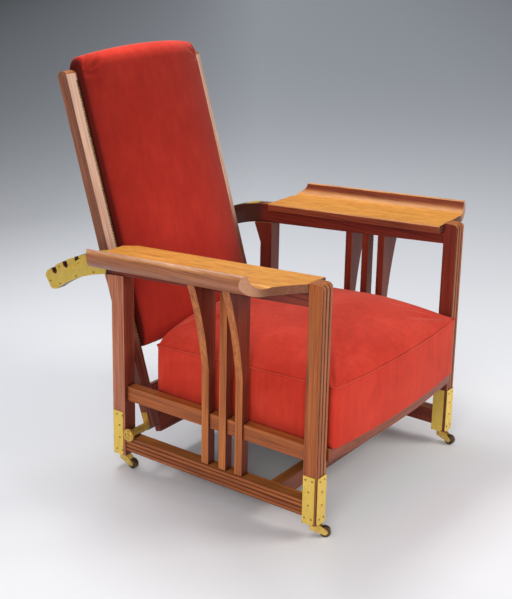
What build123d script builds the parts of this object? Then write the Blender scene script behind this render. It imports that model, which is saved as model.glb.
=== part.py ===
from build123d import *
import os
from math import asin, cos, degrees, radians, sin, sqrt, tan

os.makedirs("parts", exist_ok=True)

# Mission reclining armchair. Millimetres, +Z up, the sitter faces -Y, the floor is Z = 0.
# Left means the sitter's left, +X. The left side is modelled and the right side is its mirror.

# Side frames
post = 38.0
half_width = 327.0
front = -402.0
frame_depth = 605.0
foot_height = 37.0
post_top = 602.0
post_round = 15.0
reeds_on_post = 3
reed_depth = 2.4
bore_depth = 22.0
bore_play = 1.0

# Rails of a side frame
bottom_rail_top = 91.0
bottom_rail_height = 40.5
bottom_rail_inset = 2.0
bottom_rail_thick = 31.0
reeds_on_rail = 4
rail_reed_depth = 1.6
seat_rail_top = 221.0
seat_rail_height = 37.0
seat_rail_inset = 10.0
seat_rail_thick = 26.0
top_rail_inset = 4.0
top_rail_thick = 28.0
top_rail_height = 34.0

# Arms
arm_top_front = 600.0
arm_slope = 3.3
arm_thick = 19.0
arm_overhang = 27.0
arm_outer = 446.0
arm_past_post = 2.0
arm_left_short = 43.0
cove_width = 61.0
scroll_rise = 30.0
arm_front_bow = 2.0
arm_right_front_cut = 98.0
arm_left_front_cut = 20.0
arm_rear_cut = 36.0
arm_left_rear_cut = 50.0
arm_inner_cut = 43.0

# Slats
slat_thick = 20.0
slat_depth = 25.0
slat_inset = 5.0
slat_centres = {"front": 222.0, "middle": 269.0, "rear": 320.0}
flare_start = 330.0
flare_reach = 62.0

# Stretcher and seat frame
stretcher_front = 120.0
stretcher_thick = 28.0
seat_frame_top = 213.0
seat_frame_height = 29.0
seat_bow = 16.0
seat_rear_setback = 125.0
seat_rear_thick = 25.0
front_rail_thick = 30.0
front_rail_proud = 5.0

# Seat cushion, webbing and springs
soft_gap = 0.3
cushion_side_gap = 5.0
cushion_front_proud = 14.0
cushion_setback = 102.0
cushion_seam_front = 358.0
cushion_seam_rear = 333.0
cushion_crown = 70.0
cushion_draw_in = 4.0
cushion_shoulder = 84.0
spring_cavity_side = 34.0
spring_cavity_top = 296.0
strap_width = 50.0
strap_thick = 2.0
spring_radius = 30.0
spring_wire = 3.4
spring_turns = 4
spring_steps = 6
cloth_thick = 1.0

# Back: measured along the stile from the pivot, and square to it
lean = 17.0
pivot_setback = 54.0
pivot_height = 100.0
stile_width = 35.0
stile_clearance = 29.0
stile_front = 8.0
stile_rear = 22.0
stile_foot_rear = 12.0
stile_taper_end = 240.0
stile_length = 896.0
back_rail_front = 4.0
back_rail_rear = 16.0
pad_low = 195.0
back_low_rail = 34.0
back_high_rail = 32.0
cross_board_low = -28.0
cross_board_high = 95.0
cross_board_thick = 18.0
pad_edge = 18.0
pad_dome = 44.0
pad_top_rise = 50.0
pad_side_rise = 36.0
pad_corner = 16.0
nail_pitch = 7.5
nail_radius = 3.3
nail_height = 1.8

# Pivot
pivot_radius = 6.0
running_gap = 0.05
barrel_radius = 10.0
barrel_inside_post = 25.0
knob_radius = 16.0
knob_thick = 8.0
knob_gap = 1.5
shoe_thick = 1.6
shoe_height = 34.0

# Ratchet
pin_circle = 446.0
notch_pitch = 5.8
notch_width = 17.0
notch_play = 0.05
pin_radius = 5.0
rod_radius = 10.5
rod_gap = 6.2
rod_side_gap = 1.5
pin_end_gap = 2.0
bar_above_pin = 14.0
bar_below_pin = 38.0
bar_end_angle = 38.2
bar_step_gap = 1.0
plate_thick = 2.0
plate_past_rear = 20.0
tab_length = 39.0
tab_thick = 1.5
screw_radius = 2.6
screw_height = 0.8

# Keepers
keeper_thick = 2.5
keeper_lift = 1.2
keeper_boss = 6.0
keeper_tip = 2.8
keeper_forward = 48.0
keeper_rise = 33.0
keeper_behind = 24.0
keeper_below = 16.0
keeper_pin = 2.2
keeper_head = 4.2
keeper_head_thick = 1.4

# Foot plates
foot_plate_top = 154.0
foot_plate_thick = 1.5
foot_plate_margin = 6.0
foot_plate_clip = 5.0

# Castors
wheel_radius = 12.5
wheel_width = 12.0
axle_radius = 2.5
trail = 28.0
turned_castor = 34.0
cheek_gap = 0.5
cheek_thick = 2.2
cheek_radius = 6.0
cheek_drop = 14.0
socket_radius = 16.0
socket_thick = 3.0
crown_gap = 0.3
crown_thick = 4.0
crown_radius = 11.0
stem_radius = 4.0

# Positions worked out from the driving dimensions
rear = front + frame_depth
side_start = front + post
side_end = rear - post
post_inner = half_width - post
seat_rear_front = frame_depth - seat_rear_setback
cushion_rear = frame_depth - cushion_setback
arm_length = frame_depth - post + arm_past_post
arm_inner = post_inner - arm_overhang
arm_cove_start = arm_outer - cove_width
stile_outer = post_inner - stile_clearance
barrel_inner_end = post_inner - barrel_inside_post
plate_start = frame_depth + plate_past_rear
tab_end = plate_start + tab_length
pivot_y = rear - pivot_setback
slope = tan(radians(arm_slope))
notch_lean = degrees(asin((stile_rear + rod_radius + rod_gap) / pin_circle))
notch_angles = [lean + notch_lean + notch_pitch * step for step in range(3)]
slot_angle = notch_angles[1]
bar_inner = half_width - top_rail_inset - top_rail_thick
bar_outer = half_width - top_rail_inset
seat_rail_outer = half_width - seat_rail_inset
seat_rail_inner = seat_rail_outer - seat_rail_thick
bottom_rail_outer = half_width - bottom_rail_inset
bottom_rail_inner = bottom_rail_outer - bottom_rail_thick
slat_outer = half_width - slat_inset
slat_inner = slat_outer - slat_depth
stile_inner = stile_outer - stile_width
cushion_half = post_inner - cushion_side_gap
plate_outer = bar_outer + plate_thick
far_away = 2000.0


def block(x_low, x_high, y_low, y_high, z_low, z_high):
    size = Box(x_high - x_low, y_high - y_low, z_high - z_low)
    return Pos((x_low + x_high) / 2, (y_low + y_high) / 2, (z_low + z_high) / 2) * size


def across(outline, x_low, x_high):
    """Extrude an outline drawn in Y and Z from x_low to x_high."""
    plane = Plane(origin=(x_low, 0, 0), x_dir=(0, 1, 0), z_dir=(1, 0, 0))
    return extrude(plane * make_face(outline), amount=x_high - x_low)


def along(outline, y_low, y_high):
    """Extrude an outline drawn in X and Z from y_low to y_high."""
    plane = Plane(origin=(0, y_low, 0), x_dir=(1, 0, 0), z_dir=(0, -1, 0))
    return extrude(plane * make_face(outline), amount=y_low - y_high)


def upward(outline, z_low, z_high):
    """Extrude an outline drawn in X and Y from z_low to z_high."""
    return extrude(Pos(0, 0, z_low) * make_face(outline), amount=z_high - z_low)


def x_rod(radius, x_low, x_high, y, z):
    """A round rod along X."""
    return Pos((x_low + x_high) / 2, y, z) * Rot(0, 90, 0) * Cylinder(radius, x_high - x_low)


def x_prism(radius, sides, x_low, x_high, y, z):
    """A flat head with many sides, standing along X."""
    plane = Plane(origin=(x_low, y, z), x_dir=(0, 1, 0), z_dir=(1, 0, 0))
    return extrude(plane * RegularPolygon(radius, sides), amount=x_high - x_low)


def mirrored(shape):
    return mirror(shape, about=Plane.YZ)


def keep(name, shape):
    """Write one node to its own file."""
    export_step(shape, f"parts/{name}.step")


def keep_group(name, shapes):
    """Write a group of solids to one file."""
    keep(name, Compound(children=[solid for shape in shapes for solid in shape.solids()]))


def keep_pair(name, shape):
    """Write the left piece and its mirror, the right one."""
    keep(f"{name}_left", shape)
    keep(f"{name}_right", mirrored(shape))


def reeds(start, end, count, depth):
    """Rounded reeds between two points on a line; the crowns stand depth to the right of it."""
    count = round(count)
    run = end - start
    step = run / count
    out = Vector(run.Y, -run.X, 0).normalized() * depth
    arcs = []
    for index in range(count):
        low = start + step * index
        arcs.append(ThreePointArc(low, low + step / 2 + out, low + step))
    return arcs


def arm_under(y):
    """Height of the flat underside of the arm."""
    return arm_top_front - arm_thick / cos(radians(arm_slope)) - slope * (y - side_start)


def polar(radius, angle):
    """A point on a circle about the pivot, at an angle from upright, leaning rearward."""
    return (pivot_y + radius * sin(radians(angle)), pivot_height + radius * cos(radians(angle)))


def front_post():
    left = Vector(post_inner, front + reed_depth)
    right = Vector(half_width, front + reed_depth)
    edges = reeds(left, right, reeds_on_post, reed_depth)
    edges += Polyline(right, (half_width, side_start), (post_inner, side_start), left).edges()
    body = upward(edges, foot_height, post_top)
    corner_low = (front, post_top - post_round)
    corner_mid = (front + post_round * (1 - sqrt(0.5)), post_top - post_round * (1 - sqrt(0.5)))
    corner_high = (front + post_round, post_top)
    side = [ThreePointArc(corner_low, corner_mid, corner_high)]
    side += Polyline(corner_high, (side_start, post_top), (side_start, foot_height),
                     (front, foot_height), corner_low).edges()
    return body & across(side, post_inner, half_width)


def rear_post():
    flare_low = (rear, 446.0)
    flare_high = (rear + 26.0, 512.0)
    side = Polyline((side_end, foot_height), (rear, foot_height), flare_low, flare_high,
                    (side_end, 540.0), close=True)
    body = across(side.edges(), post_inner, half_width)
    return body - across(bar_outline(), post_inner - 1, half_width + 1)


def stem_bore(depth):
    """The hole in the foot of a post for the castor's stem."""
    x = half_width - post / 2
    hole = Cylinder(stem_radius + bore_play, bore_depth)
    return Pos(x, depth, foot_height + bore_depth / 2) * hole


def bar_outline(arm_reach=arm_length):
    """Side view of the top rail, which runs on rearward as the curved ratchet bar."""
    top_radius = pin_circle + bar_above_pin
    low_radius = pin_circle - bar_below_pin
    step_y = side_start + arm_reach * cos(radians(arm_slope)) + bar_step_gap
    step_angle = degrees(asin((step_y - pivot_y) / top_radius))
    join_angle = 5.0
    low_join = polar(low_radius, join_angle)
    low_front = (side_start, arm_under(side_start) - top_rail_height)
    end_top = polar(top_radius - 7.0, bar_end_angle)
    end_top_start = polar(top_radius, bar_end_angle - 1.4)
    end_low = polar(low_radius + 9.0, bar_end_angle + 0.4)
    end_low_start = polar(low_radius, bar_end_angle - 1.6)
    step_top = polar(top_radius, step_angle)
    outline = Polyline(low_join, low_front, (side_start, arm_under(side_start)),
                       (step_y, arm_under(step_y)), step_top).edges()
    top_middle = polar(top_radius, (step_angle + bar_end_angle) / 2)
    low_middle = polar(low_radius, (join_angle + bar_end_angle) / 2)
    outline.append(ThreePointArc(step_top, top_middle, end_top_start))
    outline += Polyline(end_top_start, end_top, end_low, end_low_start).edges()
    outline.append(ThreePointArc(end_low_start, low_middle, low_join))
    return outline


def notch(angle):
    """A round-bottomed slot that opens upward across the ratchet bar."""
    y, z = polar(pin_circle, angle)
    seat = notch_width / 2 - pin_radius - notch_play
    tilt = Rot(-slot_angle, 0, 0)
    width = bar_outer - bar_inner + 20.0
    bottom = Pos(0, 0, seat) * Rot(0, 90, 0) * Cylinder(notch_width / 2, width)
    mouth = Pos(0, 0, seat + 30.0) * Box(width, notch_width, 60.0)
    return Pos((bar_inner + bar_outer) / 2, y, z) * tilt * (bottom + mouth)


def top_rail(arm_reach):
    bar = across(bar_outline(arm_reach), bar_inner, bar_outer)
    for angle in notch_angles:
        bar -= notch(angle)
    return bar


def ratchet_plate():
    """Brass plate on the outer face, with a tab folded over the top ahead of the first notch."""
    plate = across(bar_outline(), bar_outer, plate_outer)
    plate &= block(bar_outer, plate_outer, front + plate_start, far_away, 0, far_away)
    for angle in notch_angles:
        plate -= notch(angle)
    top_radius = pin_circle + bar_above_pin
    ring = x_rod(top_radius + tab_thick, bar_inner, plate_outer, pivot_y, pivot_height)
    ring -= x_rod(top_radius, bar_inner - 1, plate_outer + 1, pivot_y, pivot_height)
    tab = ring & block(bar_inner, plate_outer, front + plate_start, front + tab_end,
                       pivot_height, far_away)
    return plate + tab


def ratchet_screw_places():
    """Screws along both edges of the ratchet plate."""
    low = pin_circle - bar_below_pin + 6.0
    high = pin_circle + bar_above_pin - 7.0
    middles = [(notch_angles[0] + notch_angles[1]) / 2, (notch_angles[1] + notch_angles[2]) / 2]
    places = [polar(low, angle) for angle in (notch_angles[0] - 6.0, middles[0], notch_angles[2])]
    places += [polar(high, middles[1]), polar(high, notch_angles[0] - 5.0)]
    places.append(polar((low + high) / 2, bar_end_angle - 1.0))
    return places


def ratchet_screws():
    heads = []
    for y, z in ratchet_screw_places():
        head = x_prism(screw_radius, 8, plate_outer, plate_outer + screw_height, y, z)
        heads += [head, mirrored(head)]
    return heads


def keeper_place():
    y, z = polar(pin_circle, notch_angles[0])
    return (y + keeper_behind, z - keeper_below)


def keeper():
    """A tapered catch that covers the end of the rod's pin, with a round boss on its pivot."""
    y, z = keeper_place()
    tip_y = y - keeper_forward
    tip_z = z + keeper_rise
    low = plate_outer + keeper_lift
    high = low + keeper_thick
    boss = x_rod(keeper_boss, plate_outer + 0.1, high, y, z)
    tip = x_rod(keeper_tip, low, high, tip_y, tip_z)
    reach = Vector(tip_y - y, tip_z - z)
    side = Vector(-reach.Y, reach.X).normalized()
    root_half = keeper_boss * 0.75
    corners = [Vector(y, z) + side * root_half, Vector(tip_y, tip_z) + side * keeper_tip,
               Vector(tip_y, tip_z) - side * keeper_tip, Vector(y, z) - side * root_half]
    arm = across(Polyline(*corners, close=True).edges(), low, high)
    hole = x_rod(keeper_pin + running_gap, plate_outer - 1, high + 1, y, z)
    return boss + tip + arm - hole


def keeper_pivot():
    """Shouldered screw that holds the keeper on the plate."""
    y, z = keeper_place()
    shoulder_end = plate_outer + keeper_lift + keeper_thick + 0.2
    shank = x_rod(keeper_pin, plate_outer, shoulder_end, y, z)
    head = x_prism(keeper_head, 12, shoulder_end, shoulder_end + keeper_head_thick, y, z)
    return shank + head


def seat_rail():
    low = seat_rail_top - seat_rail_height
    rail = block(seat_rail_inner, seat_rail_outer, side_start, side_end, low, seat_rail_top)
    for centre in slat_centres.values():
        y = front + centre
        rail -= block(slat_inner, slat_outer, y - slat_thick / 2, y + slat_thick / 2,
                      low - 1, seat_rail_top + 1)
    return rail


def bottom_rail():
    """Reeded rail with a round seat in its top for the pivot barrel."""
    low = bottom_rail_top - bottom_rail_height
    face = bottom_rail_outer - rail_reed_depth
    edges = reeds(Vector(face, low), Vector(face, bottom_rail_top), reeds_on_rail, rail_reed_depth)
    edges += Polyline((face, bottom_rail_top), (bottom_rail_inner, bottom_rail_top),
                      (bottom_rail_inner, low), (face, low)).edges()
    rail = along(edges, side_start, side_end)
    return rail - x_rod(barrel_radius, bottom_rail_inner - 1, half_width + 1, pivot_y, pivot_height)


def slat(centre, flared):
    """A straight slat, or one whose upper end flares outward to carry the arm."""
    y = front + centre
    top = arm_under(y - slat_thick / 2) + 2.0
    start = (slat_outer, flare_start)
    if flared:
        end = (slat_outer + flare_reach, top)
        middle = (slat_outer + flare_reach * 0.36, (flare_start + top) / 2)
        edges = [ThreePointArc(start, middle, end)]
        edges += Polyline(end, (slat_inner, top), (slat_inner, bottom_rail_top),
                          (slat_outer, bottom_rail_top), start).edges()
    else:
        edges = Polyline((slat_inner, bottom_rail_top), (slat_outer, bottom_rail_top),
                         (slat_outer, top), (slat_inner, top), close=True).edges()
    body = along(edges, y - slat_thick / 2, y + slat_thick / 2)
    body -= across(bar_outline(), bar_inner, bar_outer)
    above_arm = Polyline((side_start, arm_under(side_start)), (side_end, arm_under(side_end)),
                         (side_end, far_away), (side_start, far_away), close=True)
    return body - across(above_arm.edges(), slat_inner - 5, slat_outer + flare_reach + 5)


def arm_plan_right():
    """Plan of the right arm: front edge cut back to the scroll, rear corners cut off."""
    plan = [ThreePointArc((arm_outer + 1, arm_right_front_cut),
                          ((half_width + arm_outer) / 2, arm_right_front_cut * 0.58),
                          (half_width, arm_front_bow))]
    plan += Polyline((half_width, arm_front_bow), (post_inner, 0), (arm_inner - 1, 0),
                     (arm_inner - 1, arm_length - arm_inner_cut), (post_inner - 5, arm_length),
                     (arm_outer - 48, arm_length), (arm_outer + 1, arm_length - arm_rear_cut),
                     (arm_outer + 1, arm_right_front_cut)).edges()
    return plan


def arm_plan_left():
    """Plan of the left arm: the front edge is almost square and the rear end is shorter."""
    end = arm_length - arm_left_short
    plan = [ThreePointArc((arm_outer + 1, arm_left_front_cut),
                          ((half_width + arm_outer) / 2, arm_left_front_cut * 0.35),
                          (half_width, arm_front_bow))]
    plan += Polyline((half_width, arm_front_bow), (post_inner, 0), (arm_inner - 1, 0),
                     (arm_inner - 1, end), (arm_outer - 32, end),
                     (arm_outer + 1, end - arm_left_rear_cut),
                     (arm_outer + 1, arm_left_front_cut)).edges()
    return plan


def arm(plan):
    """Wide board whose outer edge is scrolled up, drawn flat and then tilted."""
    crest = arm_outer - 9.0
    edges = Polyline((arm_cove_start + 10, -arm_thick), (arm_inner, -arm_thick), (arm_inner, -3),
                     (arm_inner + 3, 0), (arm_cove_start, 0)).edges()
    edges.append(ThreePointArc((arm_cove_start, 0), (crest - 18, 7), (crest - 9, scroll_rise - 3)))
    edges.append(ThreePointArc((crest - 9, scroll_rise - 3), (crest - 4, scroll_rise),
                               (crest, scroll_rise - 1)))
    edges.append(ThreePointArc((crest, scroll_rise - 1), (arm_outer, scroll_rise / 2),
                               (crest + 5, 0)))
    edges.append(ThreePointArc((crest + 5, 0), (crest - 14, -arm_thick + 4),
                               (arm_cove_start + 10, -arm_thick)))
    board = along(edges, 0, arm_length)
    board &= upward(plan, -arm_thick - 5, scroll_rise + 5)
    board = Pos(0, side_start, arm_top_front) * Rot(-arm_slope, 0, 0) * board
    return board & block(0, far_away, side_start, far_away, 0, far_away)


def front_stretcher():
    y = front + stretcher_front
    return block(-bottom_rail_inner, bottom_rail_inner, y, y + stretcher_thick,
                 bottom_rail_top - bottom_rail_height, bottom_rail_top)


def bowed(half, y_ends, bow, y_back, z_low, z_high):
    """A slab whose front is bowed forward in plan."""
    edges = [ThreePointArc((-half, y_ends), (0, y_ends - bow), (half, y_ends))]
    edges += Polyline((half, y_ends), (half, y_back), (-half, y_back), (-half, y_ends)).edges()
    return upward(edges, z_low, z_high)


def seat_front_rail():
    return bowed(post_inner, front - front_rail_proud, seat_bow,
                 front - front_rail_proud + front_rail_thick,
                 seat_frame_top - seat_frame_height, seat_frame_top)


def seat_rear_rail():
    y = front + seat_rear_front
    return block(-seat_rail_inner, seat_rail_inner, y, y + seat_rear_thick,
                 seat_frame_top - seat_frame_height, seat_frame_top)


def seat_webbing():
    """Straps from front rail to rear rail, crossed by straps under the side rails."""
    top = seat_frame_top - seat_frame_height
    low_y = front - front_rail_proud + 4.0
    high_y = front + seat_rear_front + seat_rear_thick - 2.0
    straps = []
    for column in range(4):
        x = (column - 1.5) * 125.0
        straps.append(block(x - strap_width / 2, x + strap_width / 2, low_y, high_y,
                            top - strap_thick, top))
    for row in range(3):
        y = front + 110.0 + row * 135.0
        straps.append(block(-seat_rail_inner, seat_rail_inner, y - strap_width / 2,
                            y + strap_width / 2, top - 2 * strap_thick, top - strap_thick))
    return straps


def spring(x, y, z_low, z_high):
    """A coil spring as a square wire swept along a stepped helix."""
    steps = spring_turns * spring_steps
    lift = (z_high - z_low - spring_wire * 1.5) / steps
    turn = 360.0 / spring_steps
    points = []
    for step in range(steps + 1):
        angle = radians(turn * step)
        points.append((x + spring_radius * cos(angle), y + spring_radius * sin(angle),
                       z_low + spring_wire * 0.75 + lift * step))
    path = Polyline(*points)
    wire = Plane(origin=path @ 0, z_dir=path % 0) * Rectangle(spring_wire, spring_wire)
    return sweep(wire, path=path, transition=Transition.RIGHT)


def seat_springs():
    low = seat_frame_top - seat_frame_height
    springs = []
    for column in range(3):
        for row in range(2):
            x = (column - 1) * 125.0
            y = front + 175.0 + row * 140.0
            springs.append(spring(x, y, low, spring_cavity_top - soft_gap))
    return springs


def seat_bottom_cloth():
    low = seat_frame_top - seat_frame_height - 2 * strap_thick
    return block(-seat_rail_inner + 3, seat_rail_inner - 3, front + 4,
                 front + seat_rear_front + seat_rear_thick - 4, low - cloth_thick, low)


def cushion_section(y, seam, crown):
    """One section across the seat: flat bottom, upright sides, steep shoulders and a low crown."""
    half = cushion_half + 2.0
    low = seat_frame_top + soft_gap
    rise = ((0.0, 0.0), (0.06, 0.2), (0.2, 0.4), (0.5, 0.6), (1.0, 0.76), (1.9, 0.92), (2.7, 0.99))
    side = [(half - share * cushion_shoulder, seam + crown * height) for share, height in rise]
    outline = [(half, low)] + side + [(-x, z) for x, z in reversed(side)] + [(-half, low)]
    edges = Polyline(*outline, close=True).edges()
    plane = Plane(origin=(0, y, 0), x_dir=(1, 0, 0), z_dir=(0, -1, 0))
    return plane * make_face(edges)


def seat_cushion():
    """Boxed seat: crowned top, sides drawn in between the corners, bowed front, spring cavity."""
    length = cushion_rear + 40.0
    fall = (cushion_seam_front - cushion_seam_rear) / length
    start = front - 40.0
    sections = []
    for share, crown in ((0.0, 0.3), (0.16, 0.84), (0.4, 1.0), (0.8, 1.0), (1.0, 0.74)):
        y = start + share * length
        seam = cushion_seam_front - fall * share * length
        sections.append(cushion_section(y, seam, cushion_crown * crown))
    block_form = loft(sections, ruled=True)
    y_front = front - cushion_front_proud
    y_rear = front + cushion_rear
    half = cushion_half
    inner = half - cushion_draw_in
    plan = [ThreePointArc((-half, y_front), (0, y_front - seat_bow), (half, y_front)),
            ThreePointArc((half, y_front), (inner, (y_front + y_rear) / 2), (half, y_rear)),
            ThreePointArc((half, y_rear), (0, y_rear - cushion_draw_in), (-half, y_rear)),
            ThreePointArc((-half, y_rear), (-inner, (y_front + y_rear) / 2), (-half, y_front))]
    form = block_form & upward(plan, 0, far_away)
    side = half - spring_cavity_side
    cavity = block(-side, side, front + 46.0, front + seat_rear_front - 4.0, 0, spring_cavity_top)
    return form - cavity


def place_back(shape):
    """Turn a piece drawn upright about the pivot to the back's lean at rest."""
    return Pos(0, pivot_y, pivot_height) * Rot(-lean, 0, 0) * shape


def stile():
    """Left stile, drawn upright: tapered foot at the pivot, rounded top, grooved outer face."""
    foot = -stile_foot_rear
    edges = Polyline((stile_rear, stile_length), (stile_rear, stile_taper_end),
                     (stile_foot_rear, 0)).edges()
    edges.append(ThreePointArc((stile_foot_rear, 0), (2.0, foot), (-stile_front, -2.0)))
    edges += Polyline((-stile_front, -2.0), (-stile_front, stile_length)).edges()
    edges.append(ThreePointArc((-stile_front, stile_length),
                               ((stile_rear - stile_front) / 2, stile_length + 10.0),
                               (stile_rear, stile_length)))
    body = across(edges, stile_inner, stile_outer)
    for offset in (5.0, 9.5):
        y = -stile_front + offset
        body -= block(stile_outer - 1.2, stile_outer + 1, y, y + 1.4, stile_taper_end, far_away)
    body -= x_rod(pivot_radius, stile_inner - 1, stile_outer + 1, 0, 0)
    return body


def stile_shoe():
    """Brass plate on the outer face of the stile's foot."""
    outline = Polyline((stile_foot_rear - 2, 2), (stile_foot_rear - 1, shoe_height),
                       (-stile_front + 1, shoe_height), (-stile_front + 1, -2)).edges()
    outline.append(ThreePointArc((-stile_front + 1, -2), (2.0, -stile_foot_rear + 2),
                                 (stile_foot_rear - 2, 2)))
    plate = across(outline, stile_outer, stile_outer + shoe_thick)
    return plate - x_rod(pivot_radius, stile_outer - 1, stile_outer + shoe_thick + 1, 0, 0)


def back_cross_rail(low, high):
    return block(-stile_inner, stile_inner, -back_rail_front, back_rail_rear, low, high)


def cross_board():
    return block(-stile_inner, stile_inner, -cross_board_thick / 3, cross_board_thick * 2 / 3,
                 cross_board_low, cross_board_high)


def back_webbing():
    """Upright straps on the rear of the two rails, crossed by straps between the stiles."""
    straps = []
    for column in range(3):
        x = (column - 1) * 130.0
        straps.append(block(x - strap_width / 2, x + strap_width / 2, back_rail_rear,
                            back_rail_rear + strap_thick, pad_low + 4, stile_length - 4))
    for row in range(3):
        z = 340.0 + row * 190.0
        straps.append(block(-stile_inner, stile_inner, back_rail_rear + strap_thick,
                            back_rail_rear + 2 * strap_thick, z - strap_width / 2,
                            z + strap_width / 2))
    return straps


def back_cover():
    low = back_rail_rear + 2 * strap_thick
    return block(-stile_inner + soft_gap, stile_inner - soft_gap, low, low + cloth_thick,
                 pad_low, stile_length)


def pad_section(z, edge, dome, shrink):
    """One section across the back pad: flat rear, short sides and an arched front."""
    half = stile_inner - soft_gap - shrink
    rear_y = -back_rail_front - soft_gap
    side_y = -stile_front - edge
    edges = [ThreePointArc((-half, side_y), (0, side_y - dome), (half, side_y))]
    edges += Polyline((half, side_y), (half, rear_y), (-half, rear_y), (-half, side_y)).edges()
    return Pos(0, 0, z) * make_face(edges)


def back_pad():
    """Domed pad with drawn-in ends, rolled over the back's top rail."""
    top = stile_length + soft_gap
    span = top - pad_low
    shares = ((0.0, 0.25, 0.35), (0.08, 0.9, 0.85), (0.4, 1.0, 1.0), (0.8, 1.0, 0.9),
              (1.0, 1.0, 0.75))
    sections = []
    for share, edge, dome in shares:
        sections.append(pad_section(pad_low + span * share, pad_edge * edge, pad_dome * dome, 0))
    front_form = loft(sections, ruled=True)
    front_y = -stile_front - pad_edge
    half = stile_inner - soft_gap
    deep = front_y - pad_dome * 0.75
    roll_side = [ThreePointArc((deep, top), (deep + 26.0, top + pad_top_rise * 0.75),
                               (deep + 52.0, top + pad_top_rise)),
                 ThreePointArc((deep + 52.0, top + pad_top_rise),
                               (back_rail_rear - 8.0, top + pad_top_rise * 0.7),
                               (back_rail_rear, top))]
    roll_side += Polyline((back_rail_rear, top), (deep, top)).edges()
    roll = across(roll_side, -half, half)
    high = top + pad_side_rise
    inner = half - pad_corner
    roll_front = [ThreePointArc((-inner, high), (0, top + pad_top_rise), (inner, high))]
    roll_front += Polyline((inner, high), (half, high - pad_corner), (half, top), (-half, top),
                           (-half, high - pad_corner), (-inner, high)).edges()
    roll &= along(roll_front, deep - 5, back_rail_rear + 5)
    crown = pad_section(top, pad_edge, pad_dome * 0.75, 0)
    crown_rear = block(-half, half, -back_rail_front - soft_gap, back_rail_rear, top, far_away)
    return front_form + (roll & (extrude(crown, amount=pad_top_rise + 5) + crown_rear))


def back_nails():
    """Brass nails side by side along both edges of the pad, on the front of the stiles."""
    count = int((stile_length - pad_low - 20.0) / nail_pitch)
    x = stile_inner + nail_radius + soft_gap
    nails = []
    for index in range(count):
        z = pad_low + 12.0 + index * nail_pitch
        head = Plane(origin=(x, -stile_front, z), x_dir=(1, 0, 0), z_dir=(0, -1, 0))
        tip = Vertex(x, -stile_front - nail_height, z)
        nail = Solid.make_loft([(head * RegularPolygon(nail_radius, 4)).face().outer_wire(), tip])
        nails += [nail, mirrored(nail)]
    return nails


def pivot_barrel():
    """Brass tube that lies in the bottom rail's seat and carries the pivot bolt."""
    tube = x_rod(barrel_radius, barrel_inner_end, half_width, pivot_y, pivot_height)
    return tube - x_rod(pivot_radius + running_gap, 0, far_away, pivot_y, pivot_height)


def pivot_bolt():
    """Bolt through the stile's foot, with a ringed disc knob outside the rail."""
    knob_start = half_width + knob_gap
    knob_end = knob_start + knob_thick
    shank = x_rod(pivot_radius, stile_inner, knob_start, 0, 0)
    disc = x_rod(knob_radius, knob_start, knob_end - 2, 0, 0)
    ring = x_prism(knob_radius - 4, 24, knob_end - 2, knob_end, 0, 0)
    ring -= x_prism(knob_radius - 8, 24, knob_end - 2, knob_end + 1, 0, 0)
    centre = x_prism(knob_radius - 11, 12, knob_end - 2, knob_end + 1, 0, 0)
    return shank + disc + ring + centre


def support_rod():
    y, z = polar(pin_circle, notch_angles[0])
    half = bar_inner - rod_side_gap
    rod = x_rod(rod_radius, -half, half, y, z)
    return rod - x_rod(pin_radius, half - 30, half + 1, y, z) - x_rod(pin_radius, -half - 1,
                                                                     -half + 30, y, z)


def rod_pins():
    """Brass pins let into the ends of the rod."""
    y, z = polar(pin_circle, notch_angles[0])
    start = bar_inner - rod_side_gap - 30
    pin = x_rod(pin_radius, start, plate_outer - pin_end_gap, y, z)
    return [pin, mirrored(pin)]


def foot_plate_outline(low_y, high_y):
    """A plate with its lower corners clipped."""
    return Polyline((low_y + foot_plate_clip, foot_height), (high_y - foot_plate_clip, foot_height),
                    (high_y, foot_height + foot_plate_clip), (high_y, foot_plate_top),
                    (low_y, foot_plate_top), (low_y, foot_height + foot_plate_clip), close=True)


def foot_plates(face_y, outward):
    """Plates on three faces of a post: outer, inner, and front or rear."""
    if outward < 0:
        low_y, high_y = face_y + foot_plate_margin, face_y + post - 1
    else:
        low_y, high_y = face_y - post + foot_plate_margin, face_y - 1
    side = foot_plate_outline(low_y, high_y).edges()
    outer = across(side, half_width, half_width + foot_plate_thick)
    inner = across(side, post_inner - foot_plate_thick, post_inner)
    face = foot_plate_outline(post_inner + 2, half_width - 2).edges()
    end = along(face, min(face_y, face_y + outward * foot_plate_thick),
                max(face_y, face_y + outward * foot_plate_thick))
    return [outer, inner, end]


def foot_screws(face_y, outward):
    """Two screws at the top, two on the middle line and two at the bottom of each seen plate."""
    middle = face_y - outward * (post + foot_plate_margin - 1) / 2
    rise = foot_plate_top - foot_height
    spots = [(-9, 0.92), (9, 0.92), (0, 0.68), (0, 0.4), (-9, 0.12), (9, 0.12)]
    heads = []
    for shift, share in spots:
        z = foot_height + rise * share
        x_low = half_width + foot_plate_thick
        heads.append(x_prism(screw_radius, 6, x_low, x_low + screw_height, middle + shift, z))
        face = face_y + outward * foot_plate_thick
        spot = Plane(origin=(half_width - post / 2 + shift, face, z), x_dir=(1, 0, 0),
                     z_dir=(0, outward, 0))
        heads.append(extrude(spot * RegularPolygon(screw_radius, 6), amount=screw_height))
    return heads


def castor_socket(y):
    """Round plate under the post that the stem turns in."""
    x = half_width - post / 2
    plate = Pos(x, y, foot_height - socket_thick) * RegularPolygon(socket_radius, 24)
    plate = extrude(plate, amount=socket_thick)
    return plate - Pos(x, y, foot_height) * Cylinder(stem_radius + running_gap, 20)


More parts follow.
